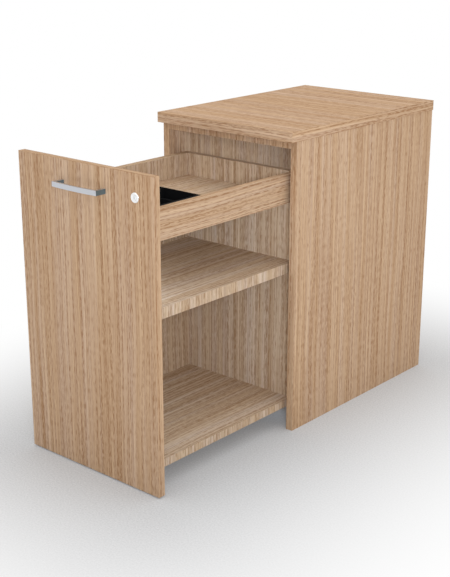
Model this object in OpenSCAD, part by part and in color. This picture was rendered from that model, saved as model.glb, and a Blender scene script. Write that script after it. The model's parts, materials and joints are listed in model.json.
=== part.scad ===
// Side-access pull-out cabinet, desk high, standing on the floor.
// Drawn with the pull-out fully extended. +X is the open side, -Y is the front.
// The origin is on the floor, at the middle of the footprint of the extended cabinet.

/* [Overall] */
// Width over the top board
overall_w = 420; // [360:1:560]
// Depth of the top board, front to back
overall_d = 600; // [590:1:800]
// Height from the floor to the top surface
overall_h = 740; // [680:1:900]

/* [Boards] */
// Thickness of the top board
top_t = 25; // [18:1:38]
// Thickness of the carcass boards and of the pull-out's walls
panel_t = 18; // [16:1:22]
// Thickness of the front panel
front_t = 18; // [16:1:25]
// Thickness of the middle shelf
shelf_t = 25; // [18:1:30]
// Thickness of the tray's rail and floor
thin_t = 12; // [10:1:16]
// Top board's overhang past each side panel
top_side_overhang = 1; // [0:0.5:20]
// Top board's overhang past the carcass front
top_front_overhang = 20; // [18:1:30]
// Top board's overhang past the carcass back
top_back_overhang = 2; // [0:0.5:20]

/* [Pull-out] */
// Travel of the pull-out on its runners
travel = 444; // [300:1:444]
// Depth of the pull-out behind its front panel
box_d = 498; // [480:1:510]
// Height of the pull-out's walls above the floor
box_top = 636; // [600:1:650]
// Height of the tray's rail
rail_h = 70; // [50:1:110]
// Depth of the tray, from the rim to its floor
tray_depth = 55; // [40:1:90]
// Top of the middle shelf above the floor
shelf_top = 420; // [300:1:480]
// Underside of the bottom shelf above the floor
bottom_z = 51.5; // [50:0.5:70]
// Reveal between the front panel's sides and the top board's sides
front_side_reveal = 4; // [3:0.5:8]
// Gap between the front panel and the top board
front_top_gap = 2.5; // [1:0.5:6]
// Gap between the front panel and the floor
front_floor_gap = 3.5; // [3:0.5:12]
// Gap between the closed front panel and the carcass
closed_gap = 2; // [1.5:0.5:4]

/* [Handle and lock] */
// Distance between the handle's screws
handle_pitch = 128; // [96:32:160]
// Height of the handle's bar
handle_h = 11; // [10:1:20]
// How far the handle stands out at its middle
handle_out = 30; // [24:1:40]
// How far the handle's ends lie behind its middle
handle_bow = 3; // [1:0.5:5]
// Thickness of the handle's bar
handle_t = 5; // [4:0.5:8]
// Width of each leg
handle_leg = 8; // [7:0.5:12]
// Height of the handle and lock below the front panel's top edge
fitting_drop = 50; // [45:0.5:60]
// Distance of the lock from the front panel's right edge
lock_inset = 52; // [46:1:60]
// Diameter of the lock's bezel
bezel_d = 22; // [21:0.5:26]
// Diameter of the lock's barrel
barrel_d = 18; // [16:0.5:19]
// Diameter of the lock's plug
plug_d = 12; // [10:0.5:13]

/* [Runners] */
// Length of each runner
runner_l = 450; // [446:1:460]
// Width of a runner's fixed member
runner_w = 45; // [42:1:50]
// Depth of a runner, which is also the gap it fills
runner_t = 12.7; // [12.7:0.1:13.5]
// Sheet thickness of the runner members
runner_sheet = 1.2; // [1:0.1:1.3]
// Diameter of the runner balls
ball_d = 3; // [2.6:0.1:3.2]
// Distance of the two base runners from the middle
base_runner_x = 96; // [80:1:110]
// Height of the side runner's centre line above the floor
side_runner_z = 480; // [450:1:550]

/* [Castor] */
// Diameter of the support castor
castor_d = 40; // [36:1:42]
// Width of the castor
castor_w = 18; // [14:1:24]
// Distance of the castor's axle behind the front panel
castor_back = 60; // [45:1:80]

/* [Pen tray] */
// Front-to-back size of the pen tray
pen_d = 142; // [120:1:180]
// Depth of the pen tray
pen_h = 26; // [20:1:36]
// Wall of the pen tray
pen_wall = 2; // [1.6:0.1:3]
// Distance of the pen tray behind the front panel
pen_back = 30; // [26:1:50]

/* [Fixings] */
// Diameter of the large dowels
dowel_d = 8; // [6:1:8]
// Length of the large dowels
dowel_l = 30; // [25:5:35]
// Diameter of the tray's dowels
small_dowel_d = 6; // [4:1:6]
// Diameter of the cam fittings
cam_d = 15; // [12:1:15]
// Diameter of the cam fittings' bolts
bolt_d = 7; // [5:0.5:7]
// Distance of a cam's centre from the joint
cam_dist = 34; // [24:1:34]
// Play all round a dowel, bolt, cam or screw in its bore
fit = 0.15; // [0.1:0.05:0.3]

/* [Hidden] */
$fn = 48;
clear = 0.3;
screw_d = 4;
small_screw_d = 3.5;
pan_d = 8;
pan_h = 2.5;

// Carcass
carcass_h = overall_h - top_t;
carcass_d = overall_d - top_front_overhang - top_back_overhang;
out_x = overall_w / 2 - top_side_overhang;
in_x = out_x - panel_t;
extension = travel + closed_gap;
total_front = extension + front_t + handle_out;
total_back = carcass_d + top_back_overhang;
front_y = (total_front - total_back) / 2;
back_y = front_y + carcass_d;
header_z = carcass_h - panel_t;
base_top = bottom_z - runner_t;
base_z = base_top - panel_t;

// Pull-out, drawn extended
pull_y = front_y - extension;
box_x = in_x - runner_t;
left_in = panel_t - box_x;
box_back = pull_y + box_d;
box_in_back = box_back - panel_t;
rail_x = box_x - thin_t;
rail_z = box_top - rail_h;
tray_z = box_top - tray_depth;
front_x = overall_w / 2 - front_side_reveal;
front_z1 = carcass_h - front_top_gap;
shelf_z = shelf_top - shelf_t;

// Handle and lock
fitting_z = front_z1 - fitting_drop;
lock_x = front_x - lock_inset;
face_y = pull_y - front_t;
handle_screw_l = front_t + 10;
bezel_t = 2;
barrel_back = 10;
nut_t = 5;
cam_screw_d = 4;
cam_screw_l = 12;
cam_plate_t = 2.5;
cam_plate_w = 14;
cam_plate_y = pull_y + barrel_back + 1.5;
cam_bite = 8;
cam_reach = header_z - fitting_z + cam_bite;
cam_clear = 1.5;
strike_y = cam_plate_y + travel - cam_clear;
strike_w = cam_plate_t + 2 * cam_clear;
strike_left = sqrt(pow(cam_reach, 2) + pow(cam_plate_w / 2, 2) - pow(header_z - fitting_z, 2)) + cam_clear;
strike_right = cam_plate_w / 2 + cam_clear;
strike_t = 1.5;
strike_margin = 12;
strike_rim = 4;
strike_screw_l = 14;
strike_head_d = 6;
bumper_d = 8;

// Castor: the base board starts behind the closed castor
castor_y = pull_y + castor_back;
castor_z = castor_d / 2;
hub_d = castor_d - 10;
fork_in = castor_w / 2 + 1;
fork_w = 20;
castor_screw_l = 16;
bracket_l = 50;
bracket_w = castor_w + 42;
bracket_t = 2;
axle_d = 6;
castor_room = 12;
base_y = castor_y + travel + bracket_l / 2 + castor_room;
castor_screw_inset = [7, 8];

// Runners: section measured across (u) and up (v) from the carcass side
run_y = box_back + travel - runner_l;
race = ball_d + 2 * clear;
mid_w = runner_w - 2 * runner_sheet - 2 * race;
draw_w = mid_w - 2 * runner_sheet - 2 * race;
cage_t = 0.6;
mid_v = runner_sheet + cage_t + 2 * clear;
inner_cage_v = mid_v + runner_sheet + clear;
draw_v = inner_cage_v + cage_t + clear;
race_v = runner_t - 1.7;
cage_l = 200;
balls = 7;
ball_v = runner_t / 2 + 1;
outer_u = (runner_w + mid_w) / 4 - runner_sheet / 2;
inner_u = (mid_w + draw_w) / 4 - runner_sheet / 2;
cage_mid = run_y + (runner_l - cage_l) / 2;
outer_cage_y = cage_mid - travel / 4;
inner_cage_y = cage_mid - travel * 3 / 4;
RUNNERS = [0, 1, 2];
// The runners' first screws lie behind the base board's front edge
runner_screw_y = [70, 225, 400];
drawer_screw_y = [50, 205, 380];
runner_screw_l = 14;
csk_d = 7;
FIXED_SCREWS = [for (y = runner_screw_y) [[0, run_y + y, runner_sheet], [0, 0, -1]]];
DRAWER_SCREWS = [for (y = drawer_screw_y) [[0, run_y - travel + y, runner_t - runner_sheet], [0, 0, 1]]];

// Pen tray
pen_x0 = left_in + clear;
pen_x1 = rail_x - clear;
pen_y = pull_y + pen_back;
pen_top = box_top - 1;
pen_lip = 9;
pin_d = 5;
pin_out = 6;
pin_in = 8;
pin_z = pen_top - pen_wall - pin_d / 2;

// Fixings: [point on the joint, direction into the board that is drilled in its edge]
face_depth = 11;
cam_over = 4;
tray_dowel_l = 22;
tray_face_depth = 7;
top_screw_l = 35;
top_head_d = 9;
top_head_h = 3;
carcass_cam_y = [55, 400];
carcass_dowel_y = [100, 440];
base_cam_y = [40, 380];
box_cam_y = [140, 380];
box_cam_x = [-55, 55];
box_dowel_x = [-90, 90];
tray_dowel_x = [-100, 0, 100];
tray_dowel_y = [100, 240, 380];
// Distance from a cam to the dowel beside it, in the base board and in the shelves
base_dowel_step = 32;
shelf_dowel_step = 40;
// Places given as a share of the length of what they are in
back_dowel_share = [0.14, 0.5, 0.84];
back_cam_share = [0.2, 0.78];
wall_dowel_share = [0.2, 0.45, 0.8];
rail_dowel_share = [0.3, 0.75];
pin_share = [0.2, 0.8];
top_screw_share_x = [-0.6, 0.6];
top_screw_share_y = [0.2, 0.8];
CARCASS_DOWELS = concat(
    [for (s = [-1, 1], y = carcass_dowel_y) [[s * in_x, front_y + y, header_z + panel_t / 2], [-s, 0, 0]]],
    [for (s = [-1, 1], y = base_cam_y)
        [[s * in_x, base_y + y + base_dowel_step, base_z + panel_t / 2], [-s, 0, 0]]],
    [for (s = [-1, 1], z = back_dowel_share)
        [[s * in_x, back_y - panel_t / 2, header_z * z], [-s, 0, 0]]]);
// Each cam: point, direction, the side its cam opens to, and the board's thickness
CARCASS_CAMS = concat(
    [for (s = [-1, 1], y = carcass_cam_y)
        [[s * in_x, front_y + y, header_z + panel_t / 2], [-s, 0, 0], [0, 0, -1], panel_t]],
    [for (s = [-1, 1], y = base_cam_y)
        [[s * in_x, base_y + y, base_z + panel_t / 2], [-s, 0, 0], [0, 0, -1], panel_t]],
    [for (s = [-1, 1], z = back_cam_share)
        [[s * in_x, back_y - panel_t / 2, header_z * z], [-s, 0, 0], [0, -1, 0], panel_t]]);
SHELVES = [[bottom_z, panel_t], [shelf_z, shelf_t]];
BOX_DOWELS = concat(
    [for (h = SHELVES, y = box_cam_y)
        [[left_in, pull_y + y + shelf_dowel_step, h[0] + h[1] / 2], [1, 0, 0]]],
    [for (h = SHELVES, x = box_dowel_x) [[x, pull_y, h[0] + h[1] / 2], [0, 1, 0]]],
    [for (h = SHELVES, x = box_dowel_x) [[x, box_in_back, h[0] + h[1] / 2], [0, -1, 0]]],
    [for (z = wall_dowel_share) [[left_in - panel_t / 2, pull_y, box_top * z], [0, 1, 0]]],
    [for (z = wall_dowel_share) [[left_in, box_back - panel_t / 2, box_top * z], [1, 0, 0]]]);
BOX_CAMS = concat(
    [for (h = SHELVES, y = box_cam_y)
        [[left_in, pull_y + y, h[0] + h[1] / 2], [1, 0, 0], [0, 0, -1], h[1]]],
    [for (h = SHELVES, x = box_cam_x) [[x, pull_y, h[0] + h[1] / 2], [0, 1, 0], [0, 0, -1], h[1]]],
    [for (h = SHELVES, x = box_cam_x) [[x, box_in_back, h[0] + h[1] / 2], [0, -1, 0], [0, 0, -1], h[1]]]);
tray_mid = tray_z - thin_t / 2;
rail_mid = rail_x + thin_t / 2;
TRAY_DOWELS = concat(
    [for (x = tray_dowel_x) [[x, pull_y, tray_mid], [0, 1, 0]]],
    [for (x = tray_dowel_x) [[x, box_in_back, tray_mid], [0, -1, 0]]],
    [for (y = tray_dowel_y) [[left_in, pull_y + y, tray_mid], [1, 0, 0]]],
    [for (y = tray_dowel_y) [[rail_x, pull_y + y, tray_mid], [-1, 0, 0]]],
    [for (z = rail_dowel_share) [[rail_mid, pull_y, rail_z + rail_h * z], [0, 1, 0]]],
    [for (z = rail_dowel_share) [[rail_mid, box_in_back, rail_z + rail_h * z], [0, -1, 0]]]);
TOP_SCREWS = [for (x = top_screw_share_x, y = top_screw_share_y)
    [[x * in_x, front_y + carcass_d * y, header_z], [0, 0, 1]]];
HANDLE_SCREWS = [for (s = [-1, 1]) [[s * handle_pitch / 2, pull_y, fitting_z], [0, -1, 0]]];
STRIKE_SCREWS = [for (x = [-strike_left - strike_margin / 2, strike_right + strike_margin / 2])
    [[lock_x + x, strike_y + strike_w / 2, header_z], [0, 0, 1]]];
CASTOR_SCREWS = [for (x = [-1, 1], y = [-1, 1])
    [[x * (bracket_w / 2 - castor_screw_inset.x), castor_y + y * (bracket_l / 2 - castor_screw_inset.y),
        bottom_z - bracket_t], [0, 0, 1]]];
PINS = [for (y = pin_share) [[left_in, pen_y + pen_d * y, pin_z], [1, 0, 0]],
        for (y = pin_share) [[rail_x, pen_y + pen_d * y, pin_z], [-1, 0, 0]]];

oak = [0.78, 0.65, 0.53];
birch = [0.86, 0.76, 0.6];
zinc = [0.72, 0.74, 0.76];
alu = [0.85, 0.86, 0.88];
black = [0.09, 0.09, 0.1];

// A board between two corners
module board(low, high) {
    translate(low) cube(high - low);
}

// Turns the children's +Z to point along one axis
module along(dir) {
    turn = dir[0] != 0 ? [0, 90 * dir[0], 0] : dir[1] != 0 ? [-90 * dir[1], 0, 0] : [90 - 90 * dir[2], 0, 0];
    rotate(turn) children();
}

// Round rods through the joints in a list, and the bores they sit in
module rods(list, d, length, face, play = 0) {
    for (f = list)
        translate(f[0]) along(f[1]) translate([0, 0, -face - play]) rotate(45)
            cylinder(d = d + 2 * play, h = length + 2 * play);
}

module cams(list, play = 0) {
    for (f = list)
        translate(f[0] + f[1] * cam_dist + f[2] * f[3] / 2) along(-f[2])
            translate([0, 0, play > 0 ? -1 : 0]) rotate(45)
                cylinder(d = cam_d + 2 * play, h = f[3] / 2 + cam_over + (play > 0 ? 1 + play : 0));
}

// Cross recess in the outer end of a cam or in a screw head whose top is at the origin
module cross_recess(size, depth) {
    for (a = [0, 90])
        rotate(a) translate([-size / 2, -size / 10, -1]) cube([size, size / 5, depth + 1]);
}

module cam_bolts(list) {
    neck = cam_dist - cam_d / 2;
    for (f = list)
        translate(f[0]) along(f[1]) {
            translate([0, 0, -face_depth]) cylinder(d = bolt_d, h = face_depth + neck - 1);
            cylinder(d = bolt_d * 0.55, h = cam_dist);
            translate([0, 0, cam_dist - 2]) cylinder(d = bolt_d * 0.85, h = 4);
        }
}

module cam_bodies(list) {
    for (f = list)
        difference() {
            cams([f]);
            translate(f[0]) along(f[1]) translate([0, 0, cam_dist - cam_d])
                cylinder(d = bolt_d + 1, h = cam_d + 4);
            translate(f[0] + f[1] * cam_dist + f[2] * f[3] / 2) along(-f[2])
                cross_recess(cam_d * 0.55, 2.5);
        }
}

// Pan-head screws whose heads bear on the point, with the shank along the direction
module pan_screws(list, d, length, head_d, head_h) {
    for (f = list)
        translate(f[0]) along(f[1]) difference() {
            union() {
                translate([0, 0, -head_h]) cylinder(d = head_d, h = head_h);
                translate([0, 0, -0.5]) cylinder(d = d, h = length + 0.5);
            }
            translate([0, 0, -head_h]) cross_recess(head_d * 0.6, head_h * 0.6);
        }
}

// Countersunk screws whose heads are flush with the point
module flush_screws(list, d, length, head_d, head_h) {
    for (f = list)
        translate(f[0]) along(f[1]) difference() {
            union() {
                cylinder(d1 = head_d, d2 = d, h = head_h);
                translate([0, 0, head_h - 0.1]) cylinder(d = d, h = length - head_h + 0.1);
            }
            cross_recess(head_d * 0.5, head_h * 0.7);
        }
}

module flush_holes(list, d, length, head_d, head_h) {
    for (f = list)
        translate(f[0]) along(f[1]) {
            translate([0, 0, -0.01]) cylinder(d1 = head_d + 2 * fit, d2 = d + 2 * fit, h = head_h + 0.01);
            cylinder(d = d + 2 * fit, h = length + fit);
        }
}

// Carcass

module carcass_bores() {
    rods(CARCASS_DOWELS, dowel_d, dowel_l, face_depth, fit);
    rods(CARCASS_CAMS, bolt_d, face_depth + cam_dist, face_depth, fit);
    cams(CARCASS_CAMS, fit);
}

module top_board() {
    color(oak) difference() {
        board([-overall_w / 2, front_y - top_front_overhang, carcass_h],
              [overall_w / 2, back_y + top_back_overhang, overall_h]);
        rods(TOP_SCREWS, screw_d, top_screw_l, 0, fit);
    }
}

module side_panel(s) {
    color(oak) difference() {
        board([s > 0 ? in_x : -out_x, front_y, 0], [s > 0 ? out_x : -in_x, back_y, carcass_h]);
        carcass_bores();
        if (s < 0) fixed_screw_bores();
    }
}

module header_board() {
    color(oak) difference() {
        board([-in_x, front_y, header_z], [in_x, back_y, carcass_h]);
        carcass_bores();
        rods(TOP_SCREWS, screw_d, top_screw_l, 1, fit);
        strike_slot(cam_bite + cam_clear);
        strike_pocket();
        flush_holes(STRIKE_SCREWS, small_screw_d, strike_screw_l, strike_head_d, strike_t);
    }
}

module carcass_back_panel() {
    color(oak) difference() {
        board([-in_x, back_y - panel_t, base_z], [in_x, back_y, header_z]);
        carcass_bores();
    }
}

module base_board() {
    color(oak) difference() {
        board([-in_x, base_y, base_z], [in_x, back_y - panel_t, base_top]);
        carcass_bores();
        fixed_screw_bores();
    }
}

module carcass_dowels() {
    color(birch) rods(CARCASS_DOWELS, dowel_d, dowel_l, face_depth);
}

module carcass_cams() {
    color(zinc) cam_bodies(CARCASS_CAMS);
}

module carcass_cam_bolts() {
    color(zinc) cam_bolts(CARCASS_CAMS);
}

module top_board_screws() {
    color(zinc) pan_screws(TOP_SCREWS, screw_d, top_screw_l, top_head_d, top_head_h);
}

// Slot that the lock's cam turns up into, with the pocket of its plate
module strike_slot(depth) {
    board([lock_x - strike_left, strike_y, header_z - 1],
          [lock_x + strike_right, strike_y + strike_w, header_z + depth]);
}

module strike_pocket(play = fit) {
    board([lock_x - strike_left - strike_margin - play, strike_y - strike_rim - play,
           header_z - (play > 0 ? 1 : 0)],
          [lock_x + strike_right + strike_margin + play, strike_y + strike_w + strike_rim + play,
           header_z + strike_t]);
}

module strike_plate() {
    color(zinc) difference() {
        strike_pocket(0);
        strike_slot(strike_t + 1);
        flush_holes(STRIKE_SCREWS, small_screw_d, strike_screw_l, strike_head_d, strike_t);
    }
}

module strike_plate_screws() {
    color(zinc) flush_screws(STRIKE_SCREWS, small_screw_d, strike_screw_l, strike_head_d, strike_t);
}

// Runners: x is across, y is along and z is up from the carcass side

module in_runner(i) {
    if (i < 2) translate([(2 * i - 1) * base_runner_x, 0, base_top]) children();
    else translate([-in_x, 0, side_runner_z]) rotate([0, 90, 0]) children();
}

// A channel with its web between two heights, and flanges up to a third
module channel(w, web_v, edge_v, y, length) {
    low = min(web_v, edge_v);
    high = max(web_v, edge_v);
    web = web_v < edge_v ? web_v : web_v - runner_sheet;
    translate([-w / 2, y, web]) cube([w, length, runner_sheet]);
    for (s = [-1, 1])
        translate([s > 0 ? w / 2 - runner_sheet : -w / 2, y, low]) cube([runner_sheet, length, high - low]);
}

module fixed_screw_bores() {
    for (i = RUNNERS) in_runner(i) flush_holes(FIXED_SCREWS, screw_d, runner_screw_l, csk_d, runner_sheet);
}

module drawer_screw_bores() {
    for (i = RUNNERS) in_runner(i) rods(DRAWER_SCREWS, screw_d, runner_screw_l + 1, 1, fit);
}

module runner_fixed(i) {
    color(zinc) difference() {
        in_runner(i) channel(runner_w, 0, race_v, run_y, runner_l);
        fixed_screw_bores();
    }
}

module runner_fixed_screws() {
    color(zinc) for (i = RUNNERS)
        in_runner(i) flush_screws(FIXED_SCREWS, screw_d, runner_screw_l, csk_d, runner_sheet);
}

module runner_middle(i) {
    color(zinc) in_runner(i) difference() {
        channel(mid_w, mid_v, race_v, run_y - travel / 2, runner_l);
        for (y = runner_screw_y)
            translate([0, run_y - travel / 2 + y, 0]) cylinder(d = 10, h = runner_t);
    }
}

module runner_drawer(i) {
    color(zinc) difference() {
        in_runner(i) channel(draw_w, runner_t, draw_v, run_y - travel, runner_l);
        drawer_screw_bores();
    }
}

module runner_drawer_screws() {
    color(zinc) for (i = RUNNERS)
        in_runner(i) pan_screws(DRAWER_SCREWS, screw_d, runner_screw_l, pan_d, pan_h);
}

// Balls and cages: one pair of rows between two members, centred on the overlap
module ball_rows(u, y) {
    pitch = cage_l / balls;
    for (s = [-1, 1], n = [0 : balls - 1])
        translate([s * u, y + pitch * (n + 0.5), ball_v]) children();
}

module cage(u, v, y) {
    difference() {
        union() {
            translate([-u - cage_t / 2, y, v]) cube([2 * u + cage_t, cage_l, cage_t]);
            for (s = [-1, 1])
                translate([s * u - cage_t / 2, y, v]) cube([cage_t, cage_l, race_v - v - 1]);
        }
        ball_rows(u, y) rotate([0, 90, 0]) cylinder(d = ball_d + 2 * fit, h = 2 * cage_t, center = true);
    }
}

module outer_ball_cages() {
    color(zinc) for (i = RUNNERS) in_runner(i) cage(outer_u, runner_sheet + clear, outer_cage_y);
}

module outer_balls() {
    color(zinc) for (i = RUNNERS) in_runner(i) ball_rows(outer_u, outer_cage_y) sphere(d = ball_d);
}

module inner_ball_cages() {
    color(zinc) for (i = RUNNERS) in_runner(i) cage(inner_u, inner_cage_v, inner_cage_y);
}

module inner_balls() {
    color(zinc) for (i = RUNNERS) in_runner(i) ball_rows(inner_u, inner_cage_y) sphere(d = ball_d);
}

// Pull-out

module box_bores() {
    rods(BOX_DOWELS, dowel_d, dowel_l, face_depth, fit);
    rods(BOX_CAMS, bolt_d, face_depth + cam_dist, face_depth, fit);
    cams(BOX_CAMS, fit);
    rods(TRAY_DOWELS, small_dowel_d, tray_dowel_l, tray_face_depth, fit);
}

module front_panel() {
    color(oak) difference() {
        board([-front_x, face_y, front_floor_gap], [front_x, pull_y, front_z1]);
        box_bores();
        translate([lock_x, face_y - 1, fitting_z]) along([0, 1, 0])
            cylinder(d = barrel_d + 2 * fit, h = front_t + 2);
        rods(HANDLE_SCREWS, screw_d, front_t + 1, 1, fit);
    }
}

module box_side_panel() {
    color(oak) difference() {
        board([-box_x, pull_y, bottom_z], [left_in, box_back, box_top]);
        box_bores();
        drawer_screw_bores();
        rods(PINS, pin_d, pin_in + 1, pin_in, fit);
    }
}

module box_back_panel() {
    color(oak) difference() {
        board([left_in, box_in_back, bottom_z], [box_x, box_back, box_top]);
        box_bores();
    }
}

module bottom_shelf() {
    color(oak) difference() {
        board([left_in, pull_y, bottom_z], [box_x, box_in_back, bottom_z + panel_t]);
        box_bores();
        drawer_screw_bores();
        rods(CASTOR_SCREWS, screw_d, castor_screw_l, 0, fit);
    }
}

module middle_shelf() {
    color(oak) difference() {
        board([left_in, pull_y, shelf_z], [box_x, box_in_back, shelf_top]);
        box_bores();
    }
}

module tray_floor() {
    color(oak) difference() {
        board([left_in, pull_y, tray_z - thin_t], [rail_x, box_in_back, tray_z]);
        box_bores();
    }
}

module tray_rail() {
    color(oak) difference() {
        board([rail_x, pull_y, rail_z], [box_x, box_in_back, box_top]);
        box_bores();
        rods(PINS, pin_d, pin_in + 1, pin_in, fit);
    }
}

module box_dowels() {
    color(birch) rods(BOX_DOWELS, dowel_d, dowel_l, face_depth);
}

module tray_dowels() {
    color(birch) rods(TRAY_DOWELS, small_dowel_d, tray_dowel_l, tray_face_depth);
}

module box_cams() {
    color(zinc) cam_bodies(BOX_CAMS);
}

module box_cam_bolts() {
    color(zinc) cam_bolts(BOX_CAMS);
}

module bumpers() {
    color(black) for (s = [-1, 1], z = [0.1, 0.9])
        translate([s * (in_x + front_x) / 2, pull_y, carcass_h * z]) along([0, 1, 0])
            cylinder(d = bumper_d, h = closed_gap - clear);
}

// Bow handle: an arched flat bar on two legs, drawn in plan and made as tall as the bar
module handle_plan(half, out) {
    radius = (pow(half, 2) + pow(handle_bow, 2)) / (2 * handle_bow);
    intersection() {
        translate([-half, 0]) square([2 * half, out]);
        translate([0, out - radius]) circle(r = radius, $fn = 360);
    }
}

module handle() {
    half = (handle_pitch + handle_leg) / 2;
    color(alu) difference() {
        translate([0, face_y, fitting_z - handle_h / 2]) mirror([0, 1, 0])
            linear_extrude(handle_h) difference() {
                handle_plan(half, handle_out);
                translate([0, -1]) handle_plan(half - handle_leg, handle_out - handle_t + 1);
            }
        rods(HANDLE_SCREWS, screw_d, handle_screw_l, 0, fit);
    }
}

module handle_screws() {
    color(zinc) pan_screws(HANDLE_SCREWS, screw_d, handle_screw_l, pan_d, pan_h);
}

module lock_housing() {
    color(alu) translate([lock_x, face_y - bezel_t, fitting_z]) along([0, 1, 0]) difference() {
        union() {
            cylinder(d1 = bezel_d - 2, d2 = bezel_d, h = bezel_t / 2);
            translate([0, 0, bezel_t / 2]) cylinder(d = bezel_d, h = bezel_t / 2);
            cylinder(d = barrel_d, h = bezel_t + front_t + barrel_back);
        }
        translate([0, 0, -1]) cylinder(d = plug_d + 2 * clear, h = bezel_t + front_t + barrel_back + 2);
    }
}

module lock_nut() {
    color(zinc) translate([lock_x, pull_y, fitting_z]) along([0, 1, 0]) difference() {
        cylinder(d = barrel_d + 8, h = nut_t, $fn = 6);
        translate([0, 0, -1]) cylinder(d = barrel_d + 2 * fit, h = nut_t + 2);
    }
}

module lock_plug() {
    key_l = 8;
    key_w = 1.2;
    key_depth = 12;
    plug_out = 0.5;
    plug_y = face_y - bezel_t - plug_out;
    color(alu) translate([lock_x, plug_y, fitting_z]) along([0, 1, 0]) difference() {
        cylinder(d = plug_d, h = cam_plate_y - plug_y);
        translate([-key_w / 2, -key_l / 2, -1]) cube([key_w, key_l, key_depth + 1]);
        translate([0, 0, front_t]) cylinder(d = cam_screw_d + 2 * fit, h = front_t + barrel_back);
    }
}

module lock_cam() {
    color(zinc) translate([lock_x, cam_plate_y, fitting_z]) along([0, 1, 0]) difference() {
        union() {
            cylinder(d = cam_plate_w, h = cam_plate_t);
            translate([-cam_reach, -cam_plate_w / 2, 0]) cube([cam_reach, cam_plate_w, cam_plate_t]);
        }
        translate([0, 0, -1]) cylinder(d = cam_screw_d + 2 * fit, h = cam_plate_t + 2);
    }
}

module lock_cam_screw() {
    seat = [[lock_x, cam_plate_y + cam_plate_t, fitting_z], [0, -1, 0]];
    color(zinc) pan_screws([seat], cam_screw_d, cam_screw_l, pan_d, pan_h);
}

// Support castor, under the bottom shelf close behind the front panel

module castor_bracket() {
    color(zinc) difference() {
        union() {
            board([-bracket_w / 2, castor_y - bracket_l / 2, bottom_z - bracket_t],
                  [bracket_w / 2, castor_y + bracket_l / 2, bottom_z]);
            for (s = [-1, 1]) {
                x = s > 0 ? fork_in : -fork_in - bracket_t;
                board([x, castor_y - fork_w / 2, castor_z],
                      [x + bracket_t, castor_y + fork_w / 2, bottom_z - bracket_t]);
                translate([x, castor_y, castor_z]) along([1, 0, 0]) cylinder(d = fork_w, h = bracket_t);
            }
        }
        translate([-bracket_w / 2, castor_y, castor_z]) along([1, 0, 0])
            cylinder(d = axle_d + 2 * fit, h = bracket_w);
        rods(CASTOR_SCREWS, screw_d, bracket_t + 2, 1, fit);
    }
}

module castor_axle() {
    over = fork_in + bracket_t;
    head_t = 1.5;
    color(zinc) {
        translate([-over, castor_y, castor_z]) along([1, 0, 0]) cylinder(d = axle_d, h = 2 * over);
        for (s = [-1, 1])
            translate([s > 0 ? over : -over - head_t, castor_y, castor_z]) along([1, 0, 0])
                cylinder(d = axle_d + 3, h = head_t);
    }
}

module castor_screws() {
    color(zinc) pan_screws(CASTOR_SCREWS, screw_d, castor_screw_l, pan_d, pan_h);
}

module castor_hub() {
    color(black) translate([-castor_w / 2, castor_y, castor_z]) along([1, 0, 0]) difference() {
        cylinder(d = hub_d, h = castor_w);
        translate([0, 0, -1]) cylinder(d = axle_d + 2 * clear, h = castor_w + 2);
    }
}

module castor_tyre() {
    color([0.25, 0.25, 0.26]) translate([-castor_w / 2, castor_y, castor_z]) along([1, 0, 0]) difference() {
        cylinder(d = castor_d, h = castor_w);
        translate([0, 0, -1]) cylinder(d = hub_d, h = castor_w + 2);
    }
}

// Pen tray: a lip all round rests on four pins; a shallow row in front of three boxes

module tray_pins() {
    color(zinc) rods(PINS, pin_d, pin_in + pin_out, pin_in);
}

module pen_tray() {
    body_x0 = pen_x0 + pen_lip;
    body_x1 = pen_x1 - pen_lip;
    row_d = pen_d * 0.45;
    third = (body_x1 - body_x0 - pen_wall) / 3;
    floor_z = pen_top - pen_h + pen_wall;
    color(black) difference() {
        union() {
            board([pen_x0, pen_y, pen_top - pen_wall], [pen_x1, pen_y + pen_d, pen_top]);
            board([body_x0, pen_y, pen_top - pen_h], [body_x1, pen_y + pen_d, pen_top]);
        }
        board([body_x0 + pen_wall, pen_y + pen_wall, floor_z],
              [body_x1 - pen_wall, pen_y + row_d, pen_top + 1]);
        for (n = [0 : 2])
            board([body_x0 + pen_wall + n * third, pen_y + row_d + pen_wall, floor_z],
                  [body_x0 + (n + 1) * third, pen_y + pen_d - pen_wall, pen_top + 1]);
    }
}

top_board();
side_panel(-1);  // side_panel_left
side_panel(1);  // side_panel_right
header_board();
carcass_back_panel();
base_board();
carcass_dowels();
carcass_cams();
carcass_cam_bolts();
top_board_screws();
strike_plate();
strike_plate_screws();
runner_fixed(0);  // runner_fixed_base_left
runner_fixed(1);  // runner_fixed_base_right
runner_fixed(2);  // runner_fixed_side
runner_fixed_screws();
runner_middle(0);  // runner_middle_base_left
runner_middle(1);  // runner_middle_base_right
runner_middle(2);  // runner_middle_side
outer_ball_cages();
outer_balls();
inner_ball_cages();
inner_balls();
runner_drawer(0);  // runner_drawer_base_left
runner_drawer(1);  // runner_drawer_base_right
runner_drawer(2);  // runner_drawer_side
runner_drawer_screws();
front_panel();
box_side_panel();
box_back_panel();
bottom_shelf();
middle_shelf();
tray_floor();
tray_rail();
box_dowels();
tray_dowels();
box_cams();
box_cam_bolts();
bumpers();
handle();
handle_screws();
lock_housing();
lock_nut();
lock_plug();
lock_cam();
lock_cam_screw();
castor_bracket();
castor_axle();
castor_screws();
castor_hub();
castor_tyre();
tray_pins();
pen_tray();
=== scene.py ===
"""Looks of a side-access pull-out cabinet in light oak laminate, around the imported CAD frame."""
import json
import math

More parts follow.
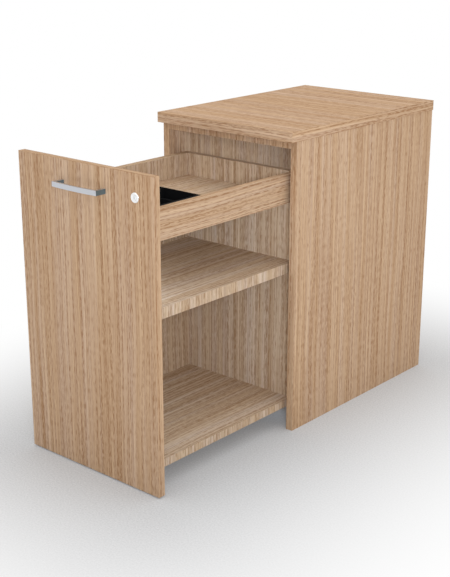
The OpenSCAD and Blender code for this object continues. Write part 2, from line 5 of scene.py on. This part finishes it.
import bmesh
import bpy
from mathutils import Euler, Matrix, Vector


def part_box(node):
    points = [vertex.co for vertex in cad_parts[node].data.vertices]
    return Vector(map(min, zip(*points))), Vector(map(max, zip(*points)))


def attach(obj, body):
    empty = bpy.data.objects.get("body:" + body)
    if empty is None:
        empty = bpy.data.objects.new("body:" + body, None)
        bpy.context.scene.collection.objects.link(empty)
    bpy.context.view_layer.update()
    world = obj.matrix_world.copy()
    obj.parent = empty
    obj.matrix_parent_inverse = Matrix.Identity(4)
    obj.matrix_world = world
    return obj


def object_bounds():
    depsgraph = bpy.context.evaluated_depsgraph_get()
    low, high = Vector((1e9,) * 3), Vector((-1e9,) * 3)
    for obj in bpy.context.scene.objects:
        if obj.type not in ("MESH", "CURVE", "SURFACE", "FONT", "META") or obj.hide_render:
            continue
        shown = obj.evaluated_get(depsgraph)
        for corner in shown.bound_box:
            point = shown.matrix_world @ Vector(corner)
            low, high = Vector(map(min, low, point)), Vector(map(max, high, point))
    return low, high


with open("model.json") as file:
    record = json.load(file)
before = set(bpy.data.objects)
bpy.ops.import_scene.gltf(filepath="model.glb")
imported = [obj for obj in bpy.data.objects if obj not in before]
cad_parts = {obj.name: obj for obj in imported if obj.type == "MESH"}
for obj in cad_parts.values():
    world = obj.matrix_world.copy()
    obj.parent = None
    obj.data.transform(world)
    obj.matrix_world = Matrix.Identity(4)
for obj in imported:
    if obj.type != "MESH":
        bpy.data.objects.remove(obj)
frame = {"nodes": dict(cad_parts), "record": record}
nodes = frame["nodes"]
cad_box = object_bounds()

# Camera: a long lens, from the front right and a little above the top
CAMERA_AT = (1.799, -2.129, 1.2235)
CAMERA_TURN = (math.radians(90.0 - 18.12), 0.0, math.radians(40.892))
CAMERA_LENS = 73.08
SENSOR = 36.0

FLOOR_HALF = 30.0
# The floor turns from a lit surface to plain white between these distances from the object at rest
FLOOR_FADE = (-0.14, 0.70)
FLOOR_DARK = (0.30, 0.30, 0.30, 1.0)
FLOOR_PALE = (0.74, 0.74, 0.74, 1.0)
FLOOR_SPECKLE = (250.0, 250.0, 250.0)
WHITE = (1.0, 1.0, 1.0, 1.0)

# A pale dome, in radiance, brightest around a tilted pole. The camera sees it as plain white
DOME_POLE = (0.12, 0.0, 0.99)
DOME_RANGE = (-0.1, 1.0)
DOME_BRIGHT = 1.44
DOME_DIM = 0.14
# A low soft fill, a little to the right of the camera
FILL_POWER = 6.6
FILL_COLOUR = (0.92, 1.0, 1.12)
FILL_SIZE = 0.50
FILL_AZIMUTH = 44.0
FILL_ELEVATION = 10.0
FILL_DISTANCE = 2.9
FILL_SPREAD = 80.0
# Weak panels inside the carcass and in the pull-out's bays lift the inside to an even light
PANEL_COLOUR = (0.80, 1.0, 1.22)
PANEL_GAP = 0.004
INSIDE_POWER = 1.15
INSIDE_SIZE = (0.44, 0.34)
# The board below, the board above and the panel's power
BAYS = (("bottom_shelf", "middle_shelf", 0.21), ("middle_shelf", "tray_floor", 0.40))
BAY_SIZE = (0.30, 0.14)

# Grain direction on the faces whose normal is X, Y or Z, a tone and an offset into the pattern
BOARDS = {
    "top_board": ("YXX", 1.03, 1.3),
    "side_panel_left": ("ZZY", 0.98, 2.9),
    "side_panel_right": ("ZZY", 0.98, 4.1),
    "header_board": ("YZX", 0.98, 5.7),
    "carcass_back_panel": ("ZZX", 0.96, 7.2),
    "base_board": ("YXX", 0.96, 8.8),
    "front_panel": ("ZZX", 0.94, 10.4),
    # The inner boards' tones below, all but the tray rail's, are raised: painted light that lifts
    # their shade
    "box_side_panel": ("ZZY", 1.04, 12.1),
    "box_back_panel": ("ZZX", 1.04, 13.6),
    "bottom_shelf": ("ZXY", 1.02, 15.0),
    "middle_shelf": ("ZXY", 1.02, 16.7),
    "tray_floor": ("YXY", 1.06, 18.3),
    "tray_rail": ("YZY", 0.90, 19.9),
}
# These boards are tinted cooler as painted light, to make up for the warm light that bounces
# between them
INNER = ("box_side_panel", "box_back_panel", "bottom_shelf", "middle_shelf", "tray_floor")
INNER_PAINTED_LIGHT_TINT = (0.97, 1.08, 1.19)
BOARD_EDGE = 0.0009
OAK_ROUGHNESS = 0.75
OAK_SPECULAR = 0.04
OAK_BUMP = {"Strength": 0.08, "Distance": 0.0004}

# The print's colours in sRGB: dark streaks, two grounds between them, light streaks and pores
STREAK = (0.585, 0.420, 0.275)
GROUND = (0.744, 0.614, 0.486)
PINK_GREY = (0.768, 0.656, 0.558)
LIGHT = (0.850, 0.730, 0.600)
PORE = (0.540, 0.372, 0.228)
# The print's layers of noise: cells per metre across, along and through, detail and roughness
LAYERS = {
    "band": ((24.0, 0.5, 6.0), 2.0, 0.5),
    "hue": ((46.0, 0.8, 9.0), 2.0, 0.5),
    "year": ((115.0, 0.9, 10.0), 2.0, 0.6),
    "line": ((330.0, 1.2, 24.0), 1.0, 0.5),
    "pale": ((200.0, 1.0, 18.0), 1.0, 0.5),
    "fibre": ((500.0, 7.0, 30.0), 2.0, 0.6),
    "thread": ((190.0, 1.0, 19.0), 1.0, 0.5),
    "vessel": ((460.0, 64.0, 30.0), 1.0, 0.5),
    "fleck": ((640.0, 52.0, 33.0), 0.0, 0.5),
}
# Where a layer, or the tone, starts to show and where it shows in full
HUE_RANGE = (0.38, 0.70)
LIGHT_RANGE = (0.50, 1.05)
DARK_RANGE = (0.50, 0.0)
PALE_RANGE = (0.50, 0.66)
LINE_RANGE = (0.50, 0.64)
THREAD_RANGE = (0.52, 0.66)
VESSEL_RANGE = (0.40, 0.58)
FLECK_RANGE = (0.60, 0.80)
# How much of each layer goes into the tone, and how strongly each mark is printed
TONE_SHARES = {"year": 0.6, "fibre": 1.0, "band": 0.20}
PALE_SHARE = 0.40
PORE_SHARE = 0.66
FLECK_SHARE = 0.50
VESSEL_LEAST = 0.25
DARK_DEPTH = 0.3
SWAY_SCALE = (4.0, 1.8, 4.0)
SWAY_WIDTH = 0.02


# The other finishes by material slot: name, sRGB colour, metallic, roughness, how fine the grain
# is, how far it moves the roughness, its relief and, where it isn't 0.5, the specular level
PLAIN = {
    "beech_dowel": ("beech", (0.80, 0.66, 0.48), 0.0, 0.6, (300.0, 40.0, 300.0), 0.05, 0.1),
    "zinc_steel": ("zinc_plate", (0.78, 0.79, 0.81), 1.0, 0.34, (180.0, 60.0, 180.0), 0.06, 0.05),
    "bearing_steel": ("ball_steel", (0.86, 0.86, 0.88), 1.0, 0.12, (400.0,) * 3, 0.03, 0.0),
    "satin_aluminium": (
        "satin_aluminium", (0.80, 0.81, 0.83), 1.0, 0.38, (60.0, 1500.0, 1500.0), 0.06, 0.04,
    ),
    "lock_chrome": ("lock_chrome", (0.98, 0.98, 0.98), 1.0, 0.30, (60.0,) * 3, 0.02, 0.0),
    "black_plastic": (
        "black_plastic", (0.03, 0.03, 0.032), 0.0, 0.80, (1400.0,) * 3, 0.06, 0.15, 0.12,
    ),
    "clear_rubber": ("bumper_rubber", (0.72, 0.72, 0.70), 0.0, 0.5, (900.0,) * 3, 0.05, 0.05),
    "castor_nylon": ("castor_nylon", (0.12, 0.12, 0.125), 0.0, 0.45, (800.0,) * 3, 0.05, 0.05),
    "castor_tyre": ("castor_rubber", (0.30, 0.30, 0.31), 0.0, 0.7, (900.0,) * 3, 0.08, 0.1),
}
# The handle's faces that look along X get this darker, bluer colour: a painted reflection of a
# darker room
HANDLE_SIDE_PAINTED_REFLECTION = (0.50, 0.62, 0.72)
# Edge rounding: nodes, width in metres and segments
ROUNDED = (
    (("handle",), 0.0012, 3),
    (("lock_housing", "lock_plug"), 0.0004, 2),
    (("pen_tray",), 0.0008, 2),
    (("lock_cam", "castor_bracket", "castor_tyre"), 0.0005, 2),
)


def linear(colour):
    """An sRGB colour from 0 to 1 as the linear RGBA that a shader socket takes."""
    values = [c / 12.92 if c <= 0.04045 else ((c + 0.055) / 1.055) ** 2.4 for c in colour]
    return (*values, 1.0)


class Shader:
    """A short way to add nodes to a tree and to link them."""

    def __init__(self, tree):
        self.tree = tree

    def add(self, kind, inputs=None, **settings):
        node = self.tree.nodes.new(kind)
        for name, value in settings.items():
            setattr(node, name, value)
        for key, value in (inputs or {}).items():
            self.put(node.inputs[key], value)
        return node

    def put(self, socket, value):
        if isinstance(value, bpy.types.NodeSocket):
            self.tree.links.new(value, socket)
        else:
            socket.default_value = value

    def math(self, operation, a, b=0.0):
        return self.add("ShaderNodeMath", {0: a, 1: b}, operation=operation).outputs[0]

    def vector(self, operation, a, b=(0.0, 0.0, 0.0)):
        return self.add("ShaderNodeVectorMath", {0: a, 1: b}, operation=operation).outputs[0]

    def noise(self, vector, scale, detail=2.0, roughness=0.5):
        stretched = self.vector("MULTIPLY", vector, scale)
        values = {"Vector": stretched, "Scale": 1.0, "Detail": detail, "Roughness": roughness}
        return self.add("ShaderNodeTexNoise", values).outputs["Fac"]

    def step(self, value, low, high):
        """0 below low, 1 above high and smooth between them."""
        values = {"Value": value, "From Min": low, "From Max": high}
        return self.add("ShaderNodeMapRange", values, interpolation_type="SMOOTHSTEP").outputs[0]

    def mix(self, factor, a, b):
        """a where factor is 0 and b where it is 1."""
        node = self.tree.nodes.new("ShaderNodeMix")
        node.data_type = "RGBA"
        self.put(node.inputs[0], factor)
        self.put(node.inputs[6], a)
        self.put(node.inputs[7], b)
        return node.outputs[2]


def new_material(name):
    material = bpy.data.materials.new(name)
    material.use_nodes = True
    shader = Shader(material.node_tree)
    principled = material.node_tree.nodes["Principled BSDF"]
    return material, shader, principled


def oak_group():
    """The laminate's printed oak, with its grain along Y: place in, colour and height out."""
    tree = bpy.data.node_groups.new("oak_laminate", "ShaderNodeTree")
    tree.interface.new_socket("Place", in_out="INPUT", socket_type="NodeSocketVector")
    tree.interface.new_socket("Color", in_out="OUTPUT", socket_type="NodeSocketColor")
    tree.interface.new_socket("Height", in_out="OUTPUT", socket_type="NodeSocketFloat")
    s = Shader(tree)
    place = s.add("NodeGroupInput").outputs["Place"]

    drift = s.math("SUBTRACT", s.noise(place, SWAY_SCALE, 2.0), 0.5)
    sway = s.add("ShaderNodeCombineXYZ", {"X": s.math("MULTIPLY", drift, SWAY_WIDTH)}).outputs[0]
    grain = s.vector("ADD", place, sway)
    layer = {name: s.noise(grain, *values) for name, values in LAYERS.items()}

    tone = 0.0
    for name, share in TONE_SHARES.items():
        tone = s.math("ADD", tone, s.math("MULTIPLY", s.math("SUBTRACT", layer[name], 0.5), share))
    tone = s.math("ADD", tone, 0.5)
    ground = s.mix(s.step(layer["hue"], *HUE_RANGE), linear(GROUND), linear(PINK_GREY))
    colour = s.mix(s.step(tone, *LIGHT_RANGE), ground, linear(LIGHT))
    dark = s.step(tone, *DARK_RANGE)
    colour = s.mix(dark, colour, linear(STREAK))
    pale = s.math("MULTIPLY", s.step(layer["pale"], *PALE_RANGE), PALE_SHARE)
    colour = s.mix(pale, colour, linear(LIGHT))
    vessels = s.math("MULTIPLY", s.step(layer["vessel"], *VESSEL_RANGE), 1.0 - VESSEL_LEAST)
    vessels = s.math("ADD", VESSEL_LEAST, vessels)
    thread = s.step(layer["thread"], *THREAD_RANGE)
    lines = s.math("MAXIMUM", s.step(layer["line"], *LINE_RANGE), thread)
    pores = s.math("MULTIPLY", lines, vessels)
    colour = s.mix(s.math("MULTIPLY", pores, PORE_SHARE), colour, linear(PORE))
    flecks = s.math("MULTIPLY", s.step(layer["fleck"], *FLECK_RANGE), FLECK_SHARE)
    colour = s.mix(flecks, colour, linear(PORE))

    depth = s.math("ADD", pores, s.math("MULTIPLY", dark, DARK_DEPTH))
    height = s.math("SUBTRACT", 1.0, depth)
    s.add("NodeGroupOutput", {"Color": colour, "Height": height})
    return tree


def oak_material(name, group, grain, tint, offset):
    """Oak on one board. grain names the grain's axis on the X, Y and Z faces."""
    material, s, principled = new_material(name)
    coords = s.add("ShaderNodeTexCoord")
    axes = s.add("ShaderNodeSeparateXYZ", {"Vector": coords.outputs["Object"]}).outputs
    facing = s.vector("ABSOLUTE", coords.outputs["Normal"])
    facing = s.add("ShaderNodeSeparateXYZ", {"Vector": facing}).outputs

    def place(normal, along):
        across = next(a for a in "XYZ" if a not in (normal, along))
        values = {"X": axes[across], "Y": axes[along], "Z": axes[normal]}
        return s.add("ShaderNodeCombineXYZ", values).outputs[0]

    def choose(normal, a, b):
        chosen = s.math("GREATER_THAN", facing[normal], 0.71)
        node = s.tree.nodes.new("ShaderNodeMix")
        node.data_type = "VECTOR"
        s.put(node.inputs[0], chosen)
        s.put(node.inputs[4], a)
        s.put(node.inputs[5], b)
        return node.outputs[1]

    pattern = choose("X", place("Y", grain[1]), place("X", grain[0]))
    pattern = choose("Z", pattern, place("Z", grain[2]))
    pattern = s.vector("ADD", pattern, (offset, offset * 1.7, offset * 0.6))
    print_out = s.add("ShaderNodeGroup", node_tree=group)
    s.put(print_out.inputs["Place"], pattern)
    toned = s.mix(1.0, print_out.outputs["Color"], (*tint, 1.0))
    toned.node.blend_type = "MULTIPLY"
    s.put(principled.inputs["Base Color"], toned)
    s.put(principled.inputs["Roughness"], OAK_ROUGHNESS)
    s.put(principled.inputs["Specular IOR Level"], OAK_SPECULAR)
    bump = s.add("ShaderNodeBump", {"Height": print_out.outputs["Height"], **OAK_BUMP})
    s.put(principled.inputs["Normal"], bump.outputs["Normal"])
    return material


def dress(names, material):
    for name in names:
        node = nodes[name]
        node.data.materials.clear()
        node.data.materials.append(material)


def plain_material(name, colour, metallic, roughness, grain, spread, bump, specular=0.5):
    """A finish with a fine procedural grain: spread varies its roughness and bump is the relief."""
    material, s, principled = new_material(name)
    coords = s.add("ShaderNodeTexCoord").outputs["Object"]
    value = s.noise(coords, grain, 3.0, 0.6)
    shade = s.add("ShaderNodeMapRange", {"Value": value, "To Min": 0.92, "To Max": 1.08}).outputs[0]
    toned = s.add("ShaderNodeCombineXYZ", {"X": shade, "Y": shade, "Z": shade}).outputs[0]
    tinted = s.mix(1.0, linear(colour), toned)
    tinted.node.blend_type = "MULTIPLY"
    rough = {"Value": value, "To Min": roughness - spread, "To Max": roughness + spread}
    s.put(principled.inputs["Base Color"], tinted)
    s.put(principled.inputs["Metallic"], metallic)
    s.put(principled.inputs["Specular IOR Level"], specular)
    s.put(principled.inputs["Roughness"], s.add("ShaderNodeMapRange", rough).outputs[0])
    relief = s.add("ShaderNodeBump", {"Height": value, "Strength": bump, "Distance": 0.0003})
    s.put(principled.inputs["Normal"], relief.outputs["Normal"])
    return material


def paint_side_reflection(material, colour):
    """Paints the faces that look along X in another colour: a painted reflection, as if they
    mirrored a darker room.
    """
    s = Shader(material.node_tree)
    principled = material.node_tree.nodes["Principled BSDF"]
    normal = s.add("ShaderNodeTexCoord").outputs["Normal"]
    side = s.add("ShaderNodeSeparateXYZ", {"Vector": s.vector("ABSOLUTE", normal)}).outputs["X"]
    base = principled.inputs["Base Color"]
    s.put(base, s.mix(s.step(side, 0.5, 0.8), base.links[0].from_socket, linear(colour)))


def soften(names, width, segments=2, angle=40.0):
    """Rounds the edges of CAD nodes, as made boards and pressed parts have them."""
    for name in names:
        bevel = nodes[name].modifiers.new("edge", "BEVEL")
        bevel.width = width
        bevel.segments = segments
        bevel.limit_method = "ANGLE"
        bevel.angle_limit = math.radians(angle)
        bevel.use_clamp_overlap = False
        bevel.harden_normals = True


def make_camera():
    data = bpy.data.cameras.new("camera")
    data.lens = CAMERA_LENS
    data.sensor_width = SENSOR
    data.sensor_fit = "AUTO"
    camera = bpy.data.objects.new("camera", data)
    camera.location = CAMERA_AT
    camera.rotation_euler = CAMERA_TURN
    bpy.context.scene.collection.objects.link(camera)
    bpy.context.scene.camera = camera


def make_floor():
    mesh = bpy.data.meshes.new("floor")
    work = bmesh.new()
    bmesh.ops.create_grid(work, x_segments=4, y_segments=4, size=FLOOR_HALF)
    work.to_mesh(mesh)
    work.free()
    floor = bpy.data.objects.new("floor", mesh)
    bpy.context.scene.collection.objects.link(floor)
    material, s, principled = new_material("floor_white")
    coords = s.add("ShaderNodeTexCoord").outputs["Object"]
    speckle = s.mix(s.noise(coords, FLOOR_SPECKLE, 3.0, 0.7), FLOOR_DARK, FLOOR_PALE)
    s.put(principled.inputs["Base Color"], speckle)
    s.put(principled.inputs["Roughness"], 0.9)
    s.put(principled.inputs["Specular IOR Level"], 0.0)
    footprint = (*cad_box[1][:2], 0.0)
    outside = s.vector("SUBTRACT", s.vector("ABSOLUTE", coords), footprint)
    outside = s.vector("MAXIMUM", outside, (0.0, 0.0, 0.0))
    distance = s.add("ShaderNodeVectorMath", {0: outside}, operation="LENGTH").outputs["Value"]
    glow = s.add("ShaderNodeEmission", {"Color": WHITE, "Strength": 1.0})
    fade = s.add("ShaderNodeMixShader", {0: s.step(distance, *FLOOR_FADE)})
    s.put(fade.inputs[1], principled.outputs[0])
    s.put(fade.inputs[2], glow.outputs[0])
    s.put(s.tree.nodes["Material Output"].inputs["Surface"], fade.outputs[0])
    mesh.materials.append(material)


def area_light(name, power, colour, size, place, turn):
    """A rectangle of light that the camera doesn't see. It shines along its own -Z."""
    data = bpy.data.lights.new(name, "AREA")
    data.energy = power
    data.color = colour
    data.shape = "RECTANGLE"
    data.size, data.size_y = size
    light = bpy.data.objects.new(name, data)
    light.location = place
    light.rotation_euler = turn
    light.visible_camera = False
    bpy.context.scene.collection.objects.link(light)
    return light


def make_light():
    world = bpy.data.worlds.new("dome")
    world.use_nodes = True
    bpy.context.scene.world = world
    s = Shader(world.node_tree)
    background = world.node_tree.nodes["Background"]
    coords = s.add("ShaderNodeTexCoord").outputs["Generated"]
    pole = s.add("ShaderNodeVectorMath", {0: coords, 1: DOME_POLE}, operation="DOT_PRODUCT")
    share = s.step(pole.outputs["Value"], *DOME_RANGE)
    low = (DOME_DIM, DOME_DIM, DOME_DIM, 1.0)
    high = (DOME_BRIGHT, DOME_BRIGHT, DOME_BRIGHT, 1.0)
    seen = s.add("ShaderNodeLightPath").outputs["Is Camera Ray"]
    s.put(background.inputs["Color"], s.mix(seen, s.mix(share, low, high), WHITE))
    s.put(background.inputs["Strength"], 1.0)

    turn = (math.radians(90.0 - FILL_ELEVATION), 0.0, math.radians(FILL_AZIMUTH))
    aim = Vector((0.0, 0.0, cad_box[1][2]))
    place = aim + Euler(turn).to_matrix().col[2] * FILL_DISTANCE
    fill = area_light("fill", FILL_POWER, FILL_COLOUR, (FILL_SIZE, FILL_SIZE), place, turn)
    fill.data.shape = "DISK"
    fill.data.spread = math.radians(FILL_SPREAD)
    # The inside panel is on the right side panel's inner face and shines to the left
    low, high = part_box("side_panel_right")
    middle = [(a + b) / 2 for a, b in zip(low, high)]
    place = (low[0] - PANEL_GAP, middle[1], middle[2])
    turn = (0.0, math.radians(90.0), 0.0)
    area_light("inside", INSIDE_POWER, PANEL_COLOUR, INSIDE_SIZE, place, turn)
    # The bay panels are on the front panel's inner face, shine backwards and ride on the pull-out
    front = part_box("front_panel")[1][1] + PANEL_GAP
    turn = (math.radians(90.0), 0.0, 0.0)
    for below, above, power in BAYS:
        low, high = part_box(below)
        place = ((low[0] + high[0]) / 2, front, (high[2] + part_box(above)[0][2]) / 2)
        bay = area_light("bay_" + below, power, PANEL_COLOUR, BAY_SIZE, place, turn)
        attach(bay, "pull_out")


make_camera()
make_floor()
make_light()
bpy.context.scene.view_settings.view_transform = "Standard"

oak = oak_group()
for board, (grain, tone, offset) in BOARDS.items():
    tint = [tone * c for c in (INNER_PAINTED_LIGHT_TINT if board in INNER else (1.0, 1.0, 1.0))]
    dress([board], oak_material(f"oak_{board}", oak, grain, tint, offset))
soften(BOARDS, BOARD_EDGE)

FINISHES = {
    slot: plain_material(name, *look) for slot, (name, *look) in PLAIN.items()
}
for part in frame["record"]["subparts"]:
    if part["material_slot"] in FINISHES:
        dress([part["node"]], FINISHES[part["material_slot"]])

# Painted reflection: the handle's faces that look along X are painted darker and bluer
paint_side_reflection(FINISHES["satin_aluminium"], HANDLE_SIDE_PAINTED_REFLECTION)

for names, width, segments in ROUNDED:
    soften(names, width, segments)
